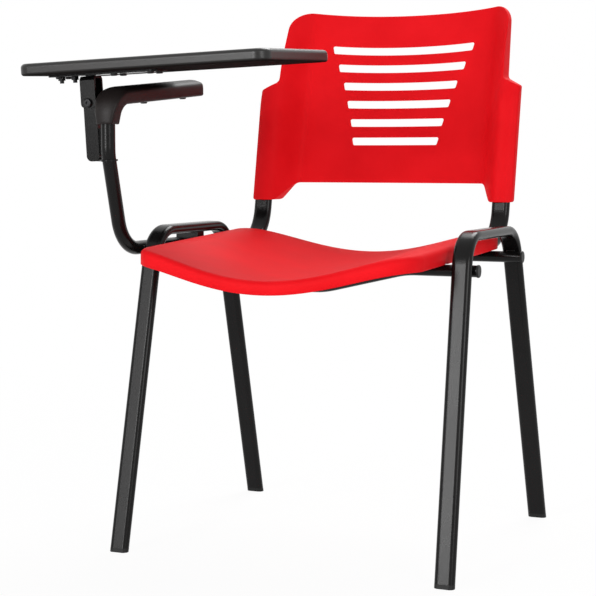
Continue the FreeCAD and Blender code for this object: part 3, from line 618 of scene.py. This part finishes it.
# Materials
mottle_scale = 14.0
mottle_detail = 5.0
mottle_span = (0.35, 0.65)
grain_detail = 2.0
grain_strength = 0.4
steel_metallic = 0.6
underside_normal = -0.8
matt_specular = 0.02


def start_material(name):
    material = bpy.data.materials.new(name)
    material.use_nodes = True
    tree = material.node_tree
    return material, tree, tree.nodes["Principled BSDF"]


def object_place(tree):
    return tree.nodes.new("ShaderNodeTexCoord").outputs["Object"]


def noise(tree, scale, detail):
    texture = tree.nodes.new("ShaderNodeTexNoise")
    texture.inputs["Scale"].default_value = scale
    texture.inputs["Detail"].default_value = detail
    tree.links.new(object_place(tree), texture.inputs["Vector"])
    return texture.outputs["Fac"]


def pebbles(tree, scale, detail):
    texture = tree.nodes.new("ShaderNodeTexVoronoi")
    texture.feature = "SMOOTH_F1"
    texture.inputs["Scale"].default_value = scale
    texture.inputs["Detail"].default_value = detail
    tree.links.new(object_place(tree), texture.inputs["Vector"])
    return texture.outputs["Distance"]


def colour_between(tree, factor, dark, light):
    """A colour that wanders between two tones as an even noise does about its middle."""
    ramp = tree.nodes.new("ShaderNodeValToRGB")
    for stop, position, colour in zip(ramp.color_ramp.elements, mottle_span, (dark, light)):
        stop.position = position
        stop.color = (*colour, 1.0)
    tree.links.new(factor, ramp.inputs["Fac"])
    return ramp.outputs["Color"]


def number_between(tree, factor, low, high):
    spread = tree.nodes.new("ShaderNodeMapRange")
    spread.inputs["To Min"].default_value = low
    spread.inputs["To Max"].default_value = high
    tree.links.new(factor, spread.inputs["Value"])
    return spread.outputs["Result"]


def finish_material(name, dark, light, rough, specular, texture, scale, depth):
    """A moulded, coated or blackened surface: mottled in colour and gloss, with a fine raised grain."""
    material, tree, shader = start_material(name)
    mottle = noise(tree, mottle_scale, mottle_detail)
    tree.links.new(colour_between(tree, mottle, dark, light), shader.inputs["Base Color"])
    tree.links.new(number_between(tree, mottle, *rough), shader.inputs["Roughness"])
    shader.inputs["Specular IOR Level"].default_value = specular
    bump = tree.nodes.new("ShaderNodeBump")
    bump.inputs["Strength"].default_value = grain_strength
    bump.inputs["Distance"].default_value = depth
    tree.links.new(texture(tree, scale, grain_detail), bump.inputs["Height"])
    tree.links.new(bump.outputs["Normal"], shader.inputs["Normal"])
    return material


def math_node(tree, operation, first, second):
    node = tree.nodes.new("ShaderNodeMath")
    node.operation = operation
    node.use_clamp = True
    tree.links.new(first, node.inputs[0])
    tree.links.new(second, node.inputs[1])
    return node.outputs[0]


def make_underside_matt(material):
    """Take the gloss off the faces that look down in the piece's rest position."""
    tree = material.node_tree
    shader = tree.nodes["Principled BSDF"]
    facing = tree.nodes.new("ShaderNodeSeparateXYZ")
    tree.links.new(tree.nodes.new("ShaderNodeTexCoord").outputs["Normal"], facing.inputs["Vector"])
    share = tree.nodes.new("ShaderNodeMapRange")
    share.inputs["From Min"].default_value = 0.0
    share.inputs["From Max"].default_value = underside_normal
    tree.links.new(facing.outputs["Z"], share.inputs["Value"])
    underside = share.outputs["Result"]
    specular = shader.inputs["Specular IOR Level"]
    tree.links.new(number_between(tree, underside, specular.default_value, matt_specular), specular)
    roughness = shader.inputs["Roughness"]
    tree.links.new(math_node(tree, "MAXIMUM", roughness.links[0].from_socket, underside), roughness)


slots = {
    "red_plastic": finish_material(
        "red_moulding", dark=(0.74, 0.0055, 0.010), light=(0.80, 0.0075, 0.013),
        rough=(0.54, 0.62), specular=0.06, texture=noise, scale=900.0, depth=0.0001,
    ),
    "frame_paint": finish_material(
        "black_coat", dark=(0.0036, 0.0033, 0.0033), light=(0.0056, 0.0052, 0.0052),
        rough=(0.19, 0.25), specular=0.16, texture=noise, scale=520.0, depth=0.0001,
    ),
    "black_plastic": finish_material(
        "black_moulding", dark=(0.0060, 0.0060, 0.0060), light=(0.0100, 0.0100, 0.0100),
        rough=(0.45, 0.55), specular=0.22, texture=noise, scale=800.0, depth=0.0001,
    ),
    "pad_plastic": finish_material(
        "pad_skin", dark=(0.0100, 0.0076, 0.0073), light=(0.0145, 0.0112, 0.0107),
        rough=(0.40, 0.48), specular=0.19, texture=pebbles, scale=620.0, depth=0.00025,
    ),
    "board_plastic": finish_material(
        "board_laminate", dark=(0.0070, 0.0062, 0.0058), light=(0.0110, 0.0098, 0.0092),
        rough=(0.28, 0.36), specular=0.40, texture=pebbles, scale=900.0, depth=0.00012,
    ),
    "dark_steel": finish_material(
        "blackened_steel", dark=(0.016, 0.016, 0.017), light=(0.028, 0.028, 0.029),
        rough=(0.30, 0.42), specular=0.34, texture=noise, scale=900.0, depth=0.00006,
    ),
}
steel_shader = slots["dark_steel"].node_tree.nodes["Principled BSDF"]
steel_shader.inputs["Metallic"].default_value = steel_metallic
make_underside_matt(slots["board_plastic"])

for part in frame["record"]["subparts"]:
    node_materials = frame["nodes"][part["node"]].data.materials
    node_materials.clear()
    node_materials.append(slots[part["material_slot"]])

for piece, slot, node in (
    (make_seat(), "red_plastic", "seat_shell"),
    (make_back(), "red_plastic", "back_shell"),
    (make_pad(), "pad_plastic", "armrest_pad"),
    (make_welds(), "frame_paint", None),
):
    piece.data.materials.clear()
    piece.data.materials.append(slots[slot])
    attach(piece, "frame")
    if node:
        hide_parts(node)


# Floor, light and camera
floor_reach = 12.0
floor_colour = (0.86, 0.86, 0.86, 1.0)
floor_roughness = 0.9
floor_fade_start = 0.6
floor_fade_end = 2.0
floor_near_white = 0.95
world_level = 0.30
white_level = 1.0
camera_place = (0.8876, -2.1695, 0.5597)
camera_tilt = math.radians(84.94)
camera_turn = math.radians(23.71)
camera_lens = 96.47
camera_sensor = 36.0

# Lamps, each with its name, its place, its width and height, and its power in watts
lamp_target = Vector((0.0, 0.0, 0.45))
lamps = (
    ("key", (3.6, -2.9, 1.7), (2.0, 2.0), 69.0),
    ("near strip", (-1.04, -4.0, 1.3), (0.6, 2.0), 66.0),
    ("far strip", (-2.12, -4.0, 1.3), (0.6, 2.0), 30.0),
    ("top", (0.1, 1.8, 3.0), (1.8, 1.8), 86.0),
)


def seen_directly(tree):
    """1 for the camera, reflections and clear materials, and 0 for the light that falls on things."""
    path = tree.nodes.new("ShaderNodeLightPath")
    mirrored = math_node(tree, "ADD", path.outputs["Is Camera Ray"], path.outputs["Is Glossy Ray"])
    return math_node(tree, "ADD", mirrored, path.outputs["Is Transmission Ray"])


def mix_shaders(tree, factor, first, second, output):
    mix = tree.nodes.new("ShaderNodeMixShader")
    tree.links.new(factor, mix.inputs["Fac"])
    tree.links.new(first.outputs[0], mix.inputs[1])
    tree.links.new(second.outputs[0], mix.inputs[2])
    tree.links.new(mix.outputs[0], tree.nodes[output].inputs["Surface"])


def make_floor():
    """A white floor that keeps the chair's shadow and fades into the white behind it."""
    mesh = bpy.data.meshes.new("floor")
    corners = [(-1, -1), (1, -1), (1, 1), (-1, 1)]
    points = [(x * floor_reach, y * floor_reach, 0.0) for x, y in corners]
    mesh.from_pydata(points, [], [tuple(range(len(points)))])
    floor = bpy.data.objects.new("floor", mesh)
    scene.collection.objects.link(floor)
    material, tree, shader = start_material("pale_floor")
    shader.inputs["Base Color"].default_value = floor_colour
    shader.inputs["Roughness"].default_value = floor_roughness
    white = tree.nodes.new("ShaderNodeEmission")
    distance = tree.nodes.new("ShaderNodeVectorMath")
    distance.operation = "LENGTH"
    tree.links.new(object_place(tree), distance.inputs[0])
    fade = tree.nodes.new("ShaderNodeMapRange")
    fade.inputs["From Min"].default_value = floor_fade_start
    fade.inputs["From Max"].default_value = floor_fade_end
    fade.inputs["To Min"].default_value = floor_near_white
    tree.links.new(distance.outputs["Value"], fade.inputs["Value"])
    share = math_node(tree, "MULTIPLY", seen_directly(tree), fade.outputs["Result"])
    mix_shaders(tree, share, shader, white, "Material Output")
    floor.data.materials.append(material)


def make_world():
    world = bpy.data.worlds.new("studio")
    world.use_nodes = True
    tree = world.node_tree
    soft = tree.nodes["Background"]
    white = tree.nodes.new("ShaderNodeBackground")
    for background, strength in ((soft, world_level), (white, white_level)):
        background.inputs["Color"].default_value = (1.0, 1.0, 1.0, 1.0)
        background.inputs["Strength"].default_value = strength
    mix_shaders(tree, seen_directly(tree), soft, white, "World Output")
    scene.world = world


def make_lamp(name, place, size, power):
    lamp = bpy.data.lights.new(name, "AREA")
    lamp.shape = "RECTANGLE"
    lamp.size, lamp.size_y = size
    lamp.energy = power
    holder = bpy.data.objects.new(name, lamp)
    holder.location = place
    holder.rotation_euler = (lamp_target - Vector(place)).to_track_quat("-Z", "Y").to_euler()
    scene.collection.objects.link(holder)


def make_camera():
    camera = bpy.data.cameras.new("camera")
    camera.sensor_width = camera_sensor
    camera.lens = camera_lens
    holder = bpy.data.objects.new("camera", camera)
    holder.location = camera_place
    holder.rotation_euler = (camera_tilt, 0.0, camera_turn)
    scene.collection.objects.link(holder)
    scene.camera = holder


make_floor()
make_world()
for lamp in lamps:
    make_lamp(*lamp)
make_camera()
scene.view_settings.view_transform = "Standard"
